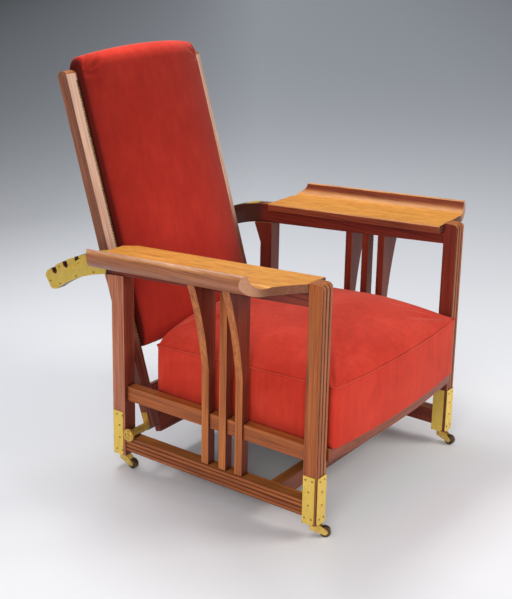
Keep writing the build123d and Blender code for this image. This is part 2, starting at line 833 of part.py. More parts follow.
def castor_fork(y):
    """Crown, stem, two cheeks and the axle pin, all brass."""
    x = half_width - post / 2
    crown_top = foot_height - socket_thick - crown_gap
    axle_y = y - trail
    inner = wheel_width / 2 + cheek_gap
    outer = inner + cheek_thick
    crown = Pos(x, y, crown_top - crown_thick) * RegularPolygon(crown_radius, 16)
    crown = extrude(crown, amount=crown_thick)
    stem_top = foot_height + bore_depth - 4
    stem = Pos(x, y, (crown_top + stem_top) / 2) * Cylinder(stem_radius, stem_top - crown_top)
    cheek = Polyline((y - crown_radius * 0.9, crown_top), (y + crown_radius * 0.7, crown_top),
                     (y + crown_radius * 0.7, crown_top - cheek_drop),
                     (axle_y + cheek_radius, wheel_radius - 4), (axle_y, wheel_radius - cheek_radius),
                     (axle_y - cheek_radius, wheel_radius), (axle_y - 4, wheel_radius + 5),
                     close=True).edges()
    fork = crown + stem
    fork += across(cheek, x + inner, x + outer)
    fork += across(cheek, x - outer, x - inner)
    fork += x_rod(axle_radius, x - outer, x + outer, axle_y, wheel_radius)
    return fork


def castor_wheel(y):
    """Wheel bored for the axle."""
    x = half_width - post / 2
    wheel = Cylinder(wheel_radius, wheel_width)
    wheel -= Cylinder(axle_radius + running_gap, wheel_width + 2)
    return Pos(x, y - trail, wheel_radius) * Rot(0, 90, 0) * wheel


def turned(shape, y, angle):
    """Swivel a castor piece about the stem of the right post at y."""
    x = post / 2 - half_width
    return Pos(x, y, 0) * Rot(0, 0, angle) * Pos(-x, -y, 0) * shape


def build_side_frames():
    front_y = front + post / 2
    rear_y = rear - post / 2
    keep_pair("front_post", front_post() - stem_bore(front_y))
    keep_pair("rear_post", rear_post() - stem_bore(rear_y))
    keep("top_rail_right", mirrored(top_rail(arm_length)))
    keep("top_rail_left", top_rail(arm_length - arm_left_short))
    keep_pair("seat_rail", seat_rail())
    keep_pair("bottom_rail", bottom_rail())
    for place, centre in slat_centres.items():
        keep_pair(f"slat_{place}", slat(centre, place != "middle"))
    keep("arm_right", mirrored(arm(arm_plan_right())))
    keep("arm_left", arm(arm_plan_left()))
    for place, face_y, outward in (("front", front, -1), ("rear", rear, 1)):
        plates = foot_plates(face_y, outward)
        keep_group(f"foot_plates_{place}_left", plates)
        keep_group(f"foot_plates_{place}_right", [mirrored(plate) for plate in plates])
    screws = foot_screws(front, -1) + foot_screws(rear, 1)
    keep_group("foot_screws", screws + [mirrored(screw) for screw in screws])


def build_seat():
    keep("front_stretcher", front_stretcher())
    keep("seat_front_rail", seat_front_rail())
    keep("seat_rear_rail", seat_rear_rail())
    keep_group("seat_webbing", seat_webbing())
    keep_group("seat_springs", seat_springs())
    keep("seat_bottom_cloth", seat_bottom_cloth())
    keep("seat_cushion", seat_cushion())


def build_back():
    keep_pair("stile", place_back(stile()))
    keep("back_low_rail", place_back(back_cross_rail(pad_low, pad_low + back_low_rail)))
    keep("back_top_rail", place_back(back_cross_rail(stile_length - back_high_rail, stile_length)))
    keep("cross_board", place_back(cross_board()))
    keep_group("back_webbing", [place_back(strap) for strap in back_webbing()])
    keep("back_cover", place_back(back_cover()))
    keep("back_pad", place_back(back_pad()))
    keep_group("back_nails", [place_back(nail) for nail in back_nails()])
    shoe = place_back(stile_shoe())
    keep_group("stile_shoes", [shoe, mirrored(shoe)])
    bolt = place_back(pivot_bolt())
    keep_group("pivot_bolts", [bolt, mirrored(bolt)])
    barrel = pivot_barrel()
    keep_group("pivot_barrels", [barrel, mirrored(barrel)])


def build_ratchet():
    keep_pair("ratchet_plate", ratchet_plate())
    keep_group("ratchet_screws", ratchet_screws())
    keep_pair("keeper", keeper())
    keep_group("keeper_pivots", [keeper_pivot(), mirrored(keeper_pivot())])
    keep("support_rod", support_rod())
    keep_group("rod_pins", rod_pins())


def build_castors():
    sockets = []
    for place, y in (("front", front + post / 2), ("rear", rear - post / 2)):
        socket = castor_socket(y)
        sockets += [socket, mirrored(socket)]
        for kind, shape in (("fork", castor_fork(y)), ("wheel", castor_wheel(y))):
            keep(f"castor_{kind}_{place}_left", shape)
            angle = turned_castor if place == "front" else 0.0
            keep(f"castor_{kind}_{place}_right", turned(mirrored(shape), y, angle))
    keep_group("castor_sockets", sockets)


build_side_frames()
build_seat()
build_back()
build_ratchet()
build_castors()
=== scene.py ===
import math

import bmesh
import bpy
from mathutils import Matrix, Vector, noise


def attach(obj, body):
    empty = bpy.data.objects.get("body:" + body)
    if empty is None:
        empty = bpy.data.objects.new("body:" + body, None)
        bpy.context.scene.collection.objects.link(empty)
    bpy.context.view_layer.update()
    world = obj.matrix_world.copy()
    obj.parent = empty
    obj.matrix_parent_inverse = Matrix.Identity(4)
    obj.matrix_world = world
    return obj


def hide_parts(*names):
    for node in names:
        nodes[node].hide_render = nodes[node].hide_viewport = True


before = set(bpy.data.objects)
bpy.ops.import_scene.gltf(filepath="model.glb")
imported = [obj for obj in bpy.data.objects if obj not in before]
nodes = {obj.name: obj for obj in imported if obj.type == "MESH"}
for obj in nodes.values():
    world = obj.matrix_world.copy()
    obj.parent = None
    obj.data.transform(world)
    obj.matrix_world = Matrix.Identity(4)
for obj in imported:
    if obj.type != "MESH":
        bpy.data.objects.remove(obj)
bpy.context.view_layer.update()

scene = bpy.context.scene

# Sizes of the source, in metres and radians
front = -0.402
pivot = Vector((0.0, front + 0.551, 0.100))
lean = math.radians(17.0)
post = 0.038
half_width = 0.327
stile_inner = 0.225
stile_front = 0.008
stile_length = 0.896
back_rail_rear = 0.016
pad_low = 0.195
nail_pitch = 0.0075
nail_radius = 0.0033
cushion_half = half_width - post - 0.005
cushion_front = front - 0.014
cushion_rear = front + 0.503
cushion_corner = 0.009
cushion_crown = 0.070
seat_frame_top = 0.213
seat_bow = 0.016
seam_front = 0.358
seam_fall = 0.025
piping_radius = 0.0017
piping_step = 0.003
piping_out = 0.0012
piping_up = 0.0006
piping_wave = 0.0012
pad_edge = 0.0215
pad_dome = 0.044
pad_corner = 0.016
reed_low = 0.0505
reed_pitch = 0.0405 / 4
groove_half = 0.0008
groove_edge = 0.0024

# Places where the wood changes its tone, painted highlights and shade among them: from and to
lip_highlight_edge = (0.428, 0.436)
sawn_highlight_reach = (0.385, 0.430)
stile_lit_strip_fade = (0.42, 0.60)
ratchet_bar_start = (0.19, 0.22)

# Covers: inset from the solid, clearances, and the widths of the seat crown's edges
cover_inset = 0.002
cover_gap = 0.0006
frame_gap = 0.0005
seat_draw_in = 0.003
seat_tuck = 0.0012
crown_side_reach = 0.252
crown_side_edge = 0.003
crown_front_reach = 0.205
crown_front_edge = 0.009
crown_rear_reach = 0.109
crown_rear_edge = 0.007
pad_gap = 0.0008
pad_side_gap = 0.0015
pad_side_limit = 0.0004
pad_rear = 0.0046
pad_roll_start = 0.78
pad_roll_rise = 0.036
pad_roll_dome = 0.012
pad_roll_fill = 0.86
pad_boxed = 0.84
pleat_reach = 0.07
pleat_start = 0.012
pleat_depth = 0.0042
pleat_rate = 13.0
pleat_high = 0.004
pleat_proud = 0.03

# Quads of each cover along its unit box: across, front to rear, and up
seat_counts = (110, 100, 24)
pad_counts = (80, 12, 120)

# Cloth: covers swell with pressure and no weight, and no point moves further than its cap
cloth_quality = 5
cloth_mass = 0.3
cloth_pressure = 4.0
cloth_frames = 20
seat_cap = 0.006
pad_cap = 0.005

# Nails: dome, rest above the stile, play beside the pad, first nail and both ends left free
nail_rise = 0.0019
nail_rest = 0.0001
nail_play = 0.0003
nail_end = 0.012
nail_ends = 0.020
nail_sides = 10


def smooth(low, high, value):
    share = min(1.0, max(0.0, (value - low) / (high - low)))
    return share * share * (3 - 2 * share)


def on_back(x, along, proud):
    """A point of the back: along the stile from the pivot, and proud of its axis to the front."""
    y = along * math.sin(lean) - proud * math.cos(lean)
    z = along * math.cos(lean) + proud * math.sin(lean)
    return pivot + Vector((x, y, z))


def new_object(name, mesh):
    piece = bpy.data.objects.new(name, mesh)
    scene.collection.objects.link(piece)
    return piece


def mesh_object(name, make):
    """Build a mesh with bmesh, smooth shaded."""
    bm = bmesh.new()
    make(bm)
    bmesh.ops.recalc_face_normals(bm, faces=bm.faces)
    mesh = bpy.data.meshes.new(name)
    bm.to_mesh(mesh)
    bm.free()
    for face in mesh.polygons:
        face.use_smooth = True
    return new_object(name, mesh)


# Materials

class Nodes:
    """Short way to build a node tree; values passed on are output sockets."""

    def __init__(self, name):
        self.material = bpy.data.materials.new(name)
        self.material.use_nodes = True
        self.tree = self.material.node_tree
        self.tree.nodes.clear()
        out = self.add("ShaderNodeOutputMaterial")
        self.shader = self.add("ShaderNodeBsdfPrincipled")
        self.join(self.shader.outputs["BSDF"], out.inputs["Surface"])

    def add(self, kind, **values):
        """Add a node and set its options."""
        node = self.tree.nodes.new(kind)
        for key, value in values.items():
            setattr(node, key, value)
        return node

    def join(self, source, target):
        self.tree.links.new(source, target)

    def fill(self, source, target):
        """Give an input a colour, a number or a link."""
        if isinstance(source, tuple):
            target.default_value = (*source, 1)
        elif isinstance(source, float):
            target.default_value = source
        else:
            self.join(source, target)

    def set(self, node, **values):
        """Set inputs by name, with an underscore for each space."""
        for key, value in values.items():
            node.inputs[key.replace("_", " ")].default_value = value

    def shade(self, socket, source):
        """Link a source to the shader."""
        self.join(source, self.shader.inputs[socket])

    def coords(self, scale=(1, 1, 1), turn=(0, 0, 0)):
        """The object's own coordinates, scaled and turned."""
        where = self.add("ShaderNodeTexCoord")
        return self.mapped(where.outputs["Object"], scale, turn)

    def mapped(self, source, scale, turn=(0, 0, 0)):
        mapping = self.add("ShaderNodeMapping")
        mapping.inputs["Scale"].default_value = scale
        mapping.inputs["Rotation"].default_value = turn
        self.join(source, mapping.inputs["Vector"])
        return mapping.outputs[0]

    def noise(self, vector, scale, detail, rough, distortion=0.0):
        """Strength of a noise texture."""
        node = self.add("ShaderNodeTexNoise")
        self.set(node, Scale=scale, Detail=detail, Roughness=rough, Distortion=distortion)
        self.join(vector, node.inputs["Vector"])
        return node.outputs["Fac"]

    def ramp(self, source, stops):
        """Colours between stops of place and colour."""
        node = self.add("ShaderNodeValToRGB")
        elements = node.color_ramp.elements
        while len(elements) < len(stops):
            elements.new(0.5)
        for element, (place, colour) in zip(elements, stops):
            element.position = place
            element.color = (*colour, 1)
        self.join(source, node.inputs["Fac"])
        return node.outputs[0]

    def mix(self, a, b, factor, kind="MIX", share=1.0):
        """Blend two colours; factor is an output, or None where share says how much."""
        node = self.add("ShaderNodeMix", data_type="RGBA", blend_type=kind)
        node.inputs[0].default_value = share
        if factor is not None:
            self.join(factor, node.inputs[0])
        self.fill(a, node.inputs[6])
        self.fill(b, node.inputs[7])
        return node.outputs[2]

    def ranged(self, source, low, high, to_low=0.0, to_high=1.0, ease="LINEAR"):
        """Map low to high onto to_low to to_high."""
        node = self.add("ShaderNodeMapRange", interpolation_type=ease)
        for socket, value in (("From Min", low), ("From Max", high),
                              ("To Min", to_low), ("To Max", to_high)):
            node.inputs[socket].default_value = value
        self.join(source, node.inputs["Value"])
        return node.outputs[0]

    def math(self, operation, *values):
        node = self.add("ShaderNodeMath", operation=operation)
        for value, into in zip(values, node.inputs):
            self.fill(value, into)
        return node.outputs[0]

    def bump(self, height, strength, distance, normal=None):
        node = self.add("ShaderNodeBump")
        self.set(node, Strength=strength, Distance=distance)
        self.join(height, node.inputs["Height"])
        if normal is not None:
            self.join(normal, node.inputs["Normal"])
        return node.outputs[0]

    def hollow(self, reach, samples):
        """Ambient occlusion: 1 in the open and less in a hollow."""
        node = self.add("ShaderNodeAmbientOcclusion", samples=samples)
        node.inputs["Distance"].default_value = reach
        return node.outputs["AO"]

    def along(self, kind, axis):
        """One axis of the object's own place, kind Object, or of its normal, kind Normal."""
        where = self.add("ShaderNodeTexCoord")
        split = self.add("ShaderNodeSeparateXYZ")
        self.join(where.outputs[kind], split.inputs[0])
        return split.outputs[axis]


def grey(value):
    return (value, value, value)


def facing(n, axis, low, high):
    """0 to 1 as the object's own normal turns from low to high along an axis."""
    return n.ranged(n.along("Normal", axis), low, high)


def outward(n):
    """1 on faces that look away from the middle of the chair, 0 on those that look inward."""
    where = n.add("ShaderNodeTexCoord")
    product = n.add("ShaderNodeVectorMath", operation="MULTIPLY")
    n.join(where.outputs["Normal"], product.inputs[0])
    n.join(where.outputs["Object"], product.inputs[1])
    split = n.add("ShaderNodeSeparateXYZ")
    n.join(product.outputs[0], split.inputs[0])
    return n.ranged(split.outputs["X"], -0.15, -0.04)


def painted_hollow_shade(n, colour, reach, floor_tone):
    """Painted shade: darken grooves and tight corners by their ambient occlusion."""
    shade = n.ramp(n.hollow(reach, 6), [(0.42, grey(floor_tone)), (0.86, grey(1.0))])
    return n.mix(colour, shade, None, "MULTIPLY")


def place_share(n, axis, low, high):
    """0 to 1 as the distance from the middle along an axis goes from low to high."""
    size = n.math("ABSOLUTE", n.along("Object", axis))
    return n.ranged(size, low, high, ease="SMOOTHSTEP")


def behind(n, low, high):
    """0 to 1 as the distance behind the middle of the chair goes from low to high."""
    return n.ranged(n.along("Object", "Y"), low, high, ease="SMOOTHSTEP")


def painted_groove_shade(n, colour, axis, start, pitch, floor_tone):
    """Painted shade in the grooves between the reeds, at even steps from start along an axis."""
    size = n.math("ABSOLUTE", n.along("Object", axis))
    wave = n.math("PINGPONG", n.math("SUBTRACT", size, start), pitch / 2)
    line = n.ranged(wave, groove_half, groove_edge, floor_tone)
    return n.mix(colour, line, None, "MULTIPLY")


def worn_and_highlit_edges(n, bevel, base):
    """Share of rubbed wood and painted edge highlight on open edges, in patches."""
    plain = n.add("ShaderNodeNewGeometry")
    dot = n.add("ShaderNodeVectorMath", operation="DOT_PRODUCT")
    n.join(bevel, dot.inputs[0])
    n.join(plain.outputs["Normal"], dot.inputs[1])
    worn = n.ranged(dot.outputs["Value"], 0.995, 0.86)
    open_edge = n.ramp(n.hollow(0.003, 4), [(0.7, grey(0.0)), (0.95, grey(1.0))])
    patch = n.ranged(n.noise(base, 45.0, 2.0, 0.5), 0.0, 1.0, 0.05, 0.85)
    return n.math("MULTIPLY", n.math("MULTIPLY", worn, patch), open_edge)


def wood(name, along, outer, inner, top, front, rough=0.4, turn=0.0, lip=None, fade=None,
         grooves=None, dark_rear=None):
    """Oiled wood with straight grain along an axis; each face tone is a dark and a light colour."""
    n = Nodes(name)
    base = n.coords(turn=(turn, 0, 0))
    stretched = []
    for squeeze in (0.028, 0.014):
        scale = [1.0, 1.0, 1.0]
        scale["XYZ".index(along)] = squeeze
        stretched.append(n.mapped(base, scale))
    bands = n.noise(stretched[0], 95.0, 4.0, 0.6, 0.1)
    streaks = n.noise(stretched[1], 330.0, 3.0, 0.65)
    grain = n.math("MULTIPLY_ADD", streaks, 0.75, n.math("MULTIPLY_ADD", bands, 0.75, -0.25))

    def grained(tone):
        return n.ramp(grain, [(0.32, tone[0]), (0.66, tone[1])])

    inner_face = grained(inner)
    colour = n.mix(inner_face, grained(outer), outward(n))
    # Faces that look to the front take the front tone: a painted highlight on the stiles, painted
    # shade on the slats and rear posts.
    bright_front = facing(n, "Y", -0.75, -0.95)
    # Below the fade's low height the colour turns to the inner tone, painted shade under the seat;
    # the front tone's painted highlight grows in above it.
    if fade:
        low, high = fade
        colour = n.mix(inner_face, colour, place_share(n, "Z", low - 0.12, low))
        bright_front = n.math("MULTIPLY", bright_front, place_share(n, "Z", low, high))
    colour = n.mix(colour, grained(front), bright_front)
    # Faces that look up take the top tone: painted light from above.
    colour = n.mix(colour, grained(top), facing(n, "Z", 0.45, 0.85))
    # On the arms: a painted highlight along the lip's crest, and the sawn front end runs from dark
    # brown to a painted highlight at the scroll.
    if lip:
        lip_highlight_tone, end_dark, end_light = lip
        lip_highlight_share = n.math("MULTIPLY", place_share(n, "X", *lip_highlight_edge), facing(n, "Z", 0.55, 0.9))
        colour = n.mix(colour, grained(lip_highlight_tone), lip_highlight_share)
        painted_end_light = n.mix(end_dark, end_light, place_share(n, "X", *sawn_highlight_reach))
        colour = n.mix(colour, painted_end_light, facing(n, "Y", -0.5, -0.9))
    # Behind the ratchet start the wood turns very dark: painted shade on the ratchet bars and in
    # their notches.
    if dark_rear:
        start, full, tone = dark_rear
        colour = n.mix(colour, tone, behind(n, start, full))
    pores = n.noise(stretched[1], 620.0, 2.0, 0.5)
    dots = n.ramp(pores, [(0.34, grey(0.55)), (0.46, grey(1.0))])
    colour = n.mix(colour, dots, None, "MULTIPLY", 0.8)
    # Painted shade in grooves and tight corners.
    colour = painted_hollow_shade(n, colour, 0.010, 0.05)
    # Painted shade along the reed grooves, on the faces the reeds are cut in.
    if grooves:
        axis, start, pitch, side, floor_tone = grooves
        groove_shaded = painted_groove_shade(n, colour, axis, start, pitch, floor_tone)
        where_cut = n.math("MAXIMUM", facing(n, side, 0.3, 0.5), facing(n, side, -0.3, -0.5))
        if side == "X":
            where_cut = n.math("MULTIPLY", where_cut, outward(n))
        colour = n.mix(colour, groove_shaded, where_cut)
    # Open edges turn pale: partly worn wood, partly a painted highlight along the rounded edge.
    bevel = n.add("ShaderNodeBevel", samples=4)
    bevel.inputs["Radius"].default_value = 0.0016
    pale = tuple(min(1.0, 1.45 * c + 0.06) for c in outer[1])
    n.shade("Base Color", n.mix(colour, pale, worn_and_highlit_edges(n, bevel.outputs[0], base)))
    n.shade("Roughness", n.ranged(bands, 0.0, 1.0, rough - 0.06, rough + 0.12))
    n.shade("Normal", n.bump(pores, 0.15, 0.0004, bevel.outputs[0]))
    n.set(n.shader, Coat_Weight=0.12, Coat_Roughness=0.35, Specular_IOR_Level=0.3)
    return n.material


def velvet(name, deep, middle, brushed, wall_shade=1.0, painted_top_gain=1.0, fade=None):
    """Cotton velvet: short nap brushed in upright streaks, with painted shade in seams and a soft
    sheen.
    """
    n = Nodes(name)
    base = n.coords()
    colour = n.ramp(n.noise(base, 7.0, 4.0, 0.55, 0.5),
                    [(0.28, deep), (0.5, middle), (0.75, brushed)])
    streaks = n.noise(n.coords(scale=(1.0, 1.0, 0.12)), 60.0, 4.0, 0.65, 0.3)
    shade = n.ramp(streaks, [(0.25, grey(0.86)), (0.75, grey(1.12))])
    colour = n.mix(colour, shade, None, "MULTIPLY", 0.9)
    pile = n.noise(base, 1100.0, 2.0, 0.6)
    colour = n.mix(colour, n.ramp(pile, [(0.3, grey(0.80)), (0.7, grey(1.16))]), None,
                   "MULTIPLY", 0.8)
    # Painted shade in seams and hollows.
    colour = painted_hollow_shade(n, colour, 0.012, 0.45)
    if wall_shade < 1:
        walls = n.math("MAXIMUM", facing(n, "X", 0.12, 0.95), facing(n, "X", -0.12, -0.95))
        colour = n.mix(colour, n.mix(grey(1.0), grey(wall_shade), walls), None, "MULTIPLY")
    # Painted light on faces that look up: brighter above 1, darker below.
    lift = n.mix(grey(1.0), grey(painted_top_gain), facing(n, "Z", 0.35, 0.8))
    colour = n.mix(colour, lift, None, "MULTIPLY")
    # Painted shade: the upright faces turn darker towards the top.
    if fade:
        low, high, tone = fade
        upper_shade = n.mix(grey(1.0), grey(tone), place_share(n, "Z", low, high))
        upright = n.mix(upper_shade, grey(1.0), facing(n, "Z", 0.3, 0.7))
        colour = n.mix(colour, upright, None, "MULTIPLY")
    n.shade("Base Color", colour)
    n.shade("Normal", n.bump(streaks, 0.22, 0.002, n.bump(pile, 0.35, 0.0006)))
    n.set(n.shader, Roughness=0.92, Sheen_Weight=0.32, Sheen_Roughness=0.38,
          Sheen_Tint=(1.0, 0.45, 0.34, 1.0), Specular_IOR_Level=0.15)
    return n.material


def brass(name, bright, dull, rough):
    """Brass with cloudy tarnish and fine rubbed lines."""
    n = Nodes(name)
    base = n.coords()
    cloud = n.noise(base, 45.0, 6.0, 0.65, 0.6)
    lines = n.noise(n.coords(scale=(1.0, 1.0, 0.06)), 900.0, 2.0, 0.5)
    rub = n.ramp(lines, [(0.3, grey(0.82)), (0.7, grey(1.08))])
    spots = n.noise(base, 260.0, 2.0, 0.5)
    dark = n.ramp(spots, [(0.22, grey(0.6)), (0.34, grey(1.0))])
    colour = n.mix(n.ramp(cloud, [(0.3, dull), (0.62, bright)]), rub, None, "MULTIPLY", 0.8)
    n.shade("Base Color", n.mix(colour, dark, None, "MULTIPLY", 0.7))
    n.shade("Roughness", n.ranged(cloud, 0.0, 1.0, rough + 0.16, rough - 0.06))
    n.shade("Normal", n.bump(spots, 0.25, 0.0004))
    n.set(n.shader, Metallic=0.72)
    return n.material


def weave(name, dark, light, scale):
    """Plain woven cloth or jute strap."""
    n = Nodes(name)
    base = n.coords()
    threads = []
    for direction, distortion in (("X", 0.6), ("DIAGONAL", 0.8)):
        wave = n.add("ShaderNodeTexWave", bands_direction=direction)
        n.set(wave, Scale=scale, Distortion=distortion)
        n.join(base, wave.inputs["Vector"])
        threads.append(wave.outputs[0])
    crossed = n.mix(threads[0], threads[1], None, "MULTIPLY")
    n.shade("Base Color", n.ramp(crossed, [(0.0, dark), (1.0, light)]))
    n.shade("Normal", n.bump(crossed, 0.5, 0.0005))
    n.set(n.shader, Roughness=0.9, Sheen_Weight=0.1)
    return n.material


def steel(name):
    """Dull wire steel with darker patches."""
    n = Nodes(name)
    cloud = n.noise(n.coords(), 120.0, 4.0, 0.6)
    n.shade("Base Color", n.ramp(cloud, [(0.3, (0.12, 0.11, 0.1)), (0.7, (0.42, 0.42, 0.43))]))
    n.shade("Roughness", n.ranged(cloud, 0.0, 1.0, 0.55, 0.3))
    n.set(n.shader, Metallic=1.0)
    return n.material


# Tones of the wood, dark and light
outer_tone = ((0.24, 0.050, 0.011), (0.49, 0.135, 0.028))
# Slats and rear posts: lit copies of the outer tone, brighter and on the posts pinker, as painted
# light; their fronts take shade_tone, painted shade.
slat_lit_tone = ((0.30, 0.070, 0.014), (0.60, 0.190, 0.040))
rear_lit_tone = ((0.32, 0.092, 0.044), (0.62, 0.222, 0.118))
shade_tone = ((0.095, 0.016, 0.010), (0.22, 0.042, 0.019))
inner_tone = ((0.115, 0.016, 0.010), (0.245, 0.036, 0.018))
middle_tone = ((0.16, 0.032, 0.013), (0.32, 0.075, 0.028))
top_lit_tone = ((0.28, 0.075, 0.016), (0.53, 0.18, 0.040))
front_tone = ((0.24, 0.058, 0.018), (0.47, 0.15, 0.048))
wood_slat = wood("wood_grain_slat", "Z", slat_lit_tone, inner_tone, top_lit_tone, shade_tone)
wood_rear = wood("wood_grain_rear", "Z", rear_lit_tone, inner_tone, top_lit_tone, shade_tone)
# Top rails keep the dark inner tone on their outer faces too: painted shadow of the arms above
# them.
wood_rail = wood("wood_grain_rail", "Y", inner_tone, inner_tone, top_lit_tone, front_tone,
                 dark_rear=(*ratchet_bar_start, (0.075, 0.020, 0.012)))
# Posts and bottom rails carry painted shade in their reed grooves.
wood_post = wood("wood_grain_post", "Z", outer_tone, inner_tone, top_lit_tone, front_tone,
                 grooves=("X", half_width - post, post / 3, "Y", 0.03))
wood_deep = wood("wood_grain_deep", "Y", outer_tone, inner_tone, top_lit_tone, front_tone)
wood_reeded = wood("wood_grain_reeded", "Y", outer_tone, inner_tone, top_lit_tone, front_tone,
                   grooves=("Z", reed_low, reed_pitch, "X", 0.22))
wood_wide = wood("wood_grain_wide", "X", outer_tone, outer_tone, top_lit_tone, middle_tone)
# Arms: the golden top tone is painted light from above; the lip's crest and the scroll's sawn end
# carry painted highlights.
wood_arm = wood("wood_grain_arm", "Y", ((0.26, 0.085, 0.040), (0.43, 0.165, 0.080)), middle_tone,
                ((0.62, 0.225, 0.024), (0.88, 0.38, 0.058)),
                ((0.22, 0.060, 0.018), (0.34, 0.105, 0.034)), 0.44,
                lip=(((0.46, 0.20, 0.12), (0.74, 0.42, 0.28)),
                     (0.11, 0.036, 0.013), (0.52, 0.26, 0.15)))
# Stiles: the pale front tone is a painted highlight, with painted shade on them below the seat.
wood_stile = wood("wood_grain_stile", "Z", ((0.23, 0.075, 0.038), (0.44, 0.17, 0.100)),
                  ((0.12, 0.03, 0.02), (0.30, 0.09, 0.06)), top_lit_tone,
                  ((0.54, 0.29, 0.19), (0.82, 0.54, 0.39)), 0.34, lean, fade=stile_lit_strip_fade)
wood_back_wide = wood("wood_grain_back", "X", inner_tone, inner_tone, top_lit_tone, inner_tone,
                      turn=lean)
# Seat: painted shade on its top faces. Back: painted shade on its side walls and upper face,
# painted light on its top roll.
velvet_seat = velvet("red_velvet_seat", (0.53, 0.032, 0.016), (0.62, 0.044, 0.023),
                     (0.70, 0.060, 0.033), painted_top_gain=0.9)
velvet_back = velvet("red_velvet_back", (0.40, 0.022, 0.012), (0.45, 0.026, 0.015),
                     (0.50, 0.034, 0.019), wall_shade=0.30, painted_top_gain=1.6,
                     fade=(0.55, 0.95, 0.74))
velvet_piping = velvet("red_velvet_piping", (0.56, 0.042, 0.024), (0.65, 0.058, 0.033),
                       (0.74, 0.085, 0.05))
brass_plate = brass("brass_plate", (1.0, 0.71, 0.15), (0.94, 0.63, 0.12), 0.38)
brass_worn = brass("brass_worn", (0.86, 0.59, 0.14), (0.52, 0.32, 0.07), 0.36)
brass_nail = brass("brass_nail", (0.52, 0.33, 0.11), (0.08, 0.04, 0.02), 0.32)
brass_screw = brass("brass_screw", (0.50, 0.36, 0.11), (0.22, 0.13, 0.05), 0.42)
wheel_dark = brass("wheel_dark", (0.16, 0.10, 0.06), (0.05, 0.03, 0.02), 0.45)
jute = weave("jute_strap", (0.22, 0.15, 0.07), (0.50, 0.38, 0.20), 900.0)
lining = weave("dark_lining", (0.02, 0.018, 0.018), (0.09, 0.075, 0.07), 1400.0)
spring_steel = steel("spring_steel")

by_name = {
    "front_post": wood_post, "rear_post": wood_rear, "slat_": wood_slat, "top_rail": wood_rail,
    "seat_rail": wood_deep, "bottom_rail": wood_reeded, "arm_": wood_arm,
    "front_stretcher": wood_wide, "seat_front_rail": wood_wide, "seat_rear_rail": wood_wide,
    "stile_left": wood_stile, "stile_right": wood_stile, "back_low_rail": wood_back_wide,
    "back_top_rail": wood_back_wide, "cross_board": wood_back_wide, "support_rod": wood_wide,
    "foot_plates": brass_plate, "foot_screws": brass_screw, "ratchet_plate": brass_plate,
    "ratchet_screws": brass_screw, "keeper_pin": brass_screw, "keeper": brass_plate,
    "pivot_": brass_worn, "castor_wheel": wheel_dark, "castor": brass_worn,
    "stile_shoes": brass_worn, "rod_pins": brass_worn,
    "back_nails": brass_nail, "seat_webbing": jute, "back_webbing": jute,
    "seat_bottom_cloth": lining, "back_cover": lining, "seat_springs": spring_steel,
    "seat_cushion": velvet_seat, "back_pad": velvet_back,
}
for node_name, piece in nodes.items():
    match = [m for key, m in by_name.items() if node_name.startswith(key)]
    piece.data.materials.clear()
    piece.data.materials.append(match[0])


# Soft pieces

def grid_box(counts, place):
    """Closed box of quads; each point is placed from its unit coordinates. Gives mesh and index."""
    nx, ny, nz = counts
    index = {}
    points = []
    faces = []

    def at(i, j, k):
        if (i, j, k) not in index:
            index[(i, j, k)] = len(points)
            points.append(place(2 * i / nx - 1, j / ny, k / nz))
        return index[(i, j, k)]

    for i in range(nx):
        for j in range(ny):
            for k in (0, nz):
                faces.append([at(i, j, k), at(i + 1, j, k), at(i + 1, j + 1, k), at(i, j + 1, k)])
    for k in range(nz):
        for i in range(nx):
            for j in (0, ny):
                faces.append([at(i, j, k), at(i + 1, j, k), at(i + 1, j, k + 1), at(i, j, k + 1)])
        for j in range(ny):
            for i in (0, nx):
                faces.append([at(i, j, k), at(i, j + 1, k), at(i, j + 1, k + 1), at(i, j, k + 1)])
    mesh = bpy.data.meshes.new("soft")
    mesh.from_pydata(points, [], faces)
    bm = bmesh.new()
    bm.from_mesh(mesh)
    bmesh.ops.recalc_face_normals(bm, faces=bm.faces)
    bm.to_mesh(mesh)
    bm.free()
    for face in mesh.polygons:
        face.use_smooth = True
    return mesh, index


def swell(piece, sewn, cap, keep_in):
    """Blow a cover up with Cloth; sewn points stay and the others move no further than cap."""
    mesh = piece.data
    start = [v.co.copy() for v in mesh.vertices]
    group = piece.vertex_groups.new(name="sewn")
    group.add(sewn, 1.0, "REPLACE")
    cloth = piece.modifiers.new("cloth", "CLOTH")
    cloth.settings.quality = cloth_quality
    cloth.settings.mass = cloth_mass
    cloth.settings.use_pressure = True
    cloth.settings.uniform_pressure_force = cloth_pressure
    cloth.settings.vertex_group_mass = "sewn"
    cloth.settings.effector_weights.gravity = 0.0
    for number in range(1, cloth_frames + 1):
        scene.frame_set(number)
    shown = piece.evaluated_get(bpy.context.evaluated_depsgraph_get())
    moved = [v.co.copy() for v in shown.data.vertices]
    piece.modifiers.remove(cloth)
    piece.vertex_groups.clear()
    scene.frame_set(1)
    for vertex, old, new in zip(mesh.vertices, start, moved):
        step = new - old
        if step.length > cap:
            step *= cap / step.length
        vertex.co = old + step
    for vertex in mesh.vertices:
        vertex.co = keep_in(vertex.co)
    subdivision = piece.modifiers.new("smooth", "SUBSURF")
    subdivision.levels = 1
    subdivision.render_levels = 1
    mesh.update()


def rounded_plan(x, y, half_x, half_y, radius):
    """Round the corners of a rectangle in plan, centred on zero."""
    over_x = abs(x) - (half_x - radius)
    over_y = abs(y) - (half_y - radius)
    if over_x <= 0 or over_y <= 0:
        return x, y
    a = over_x / radius
    b = over_y / radius
    new_x = half_x - radius + radius * a * math.sqrt(1 - b * b / 2)
    new_y = half_y - radius + radius * b * math.sqrt(1 - a * a / 2)
    return math.copysign(new_x, x), math.copysign(new_y, y)


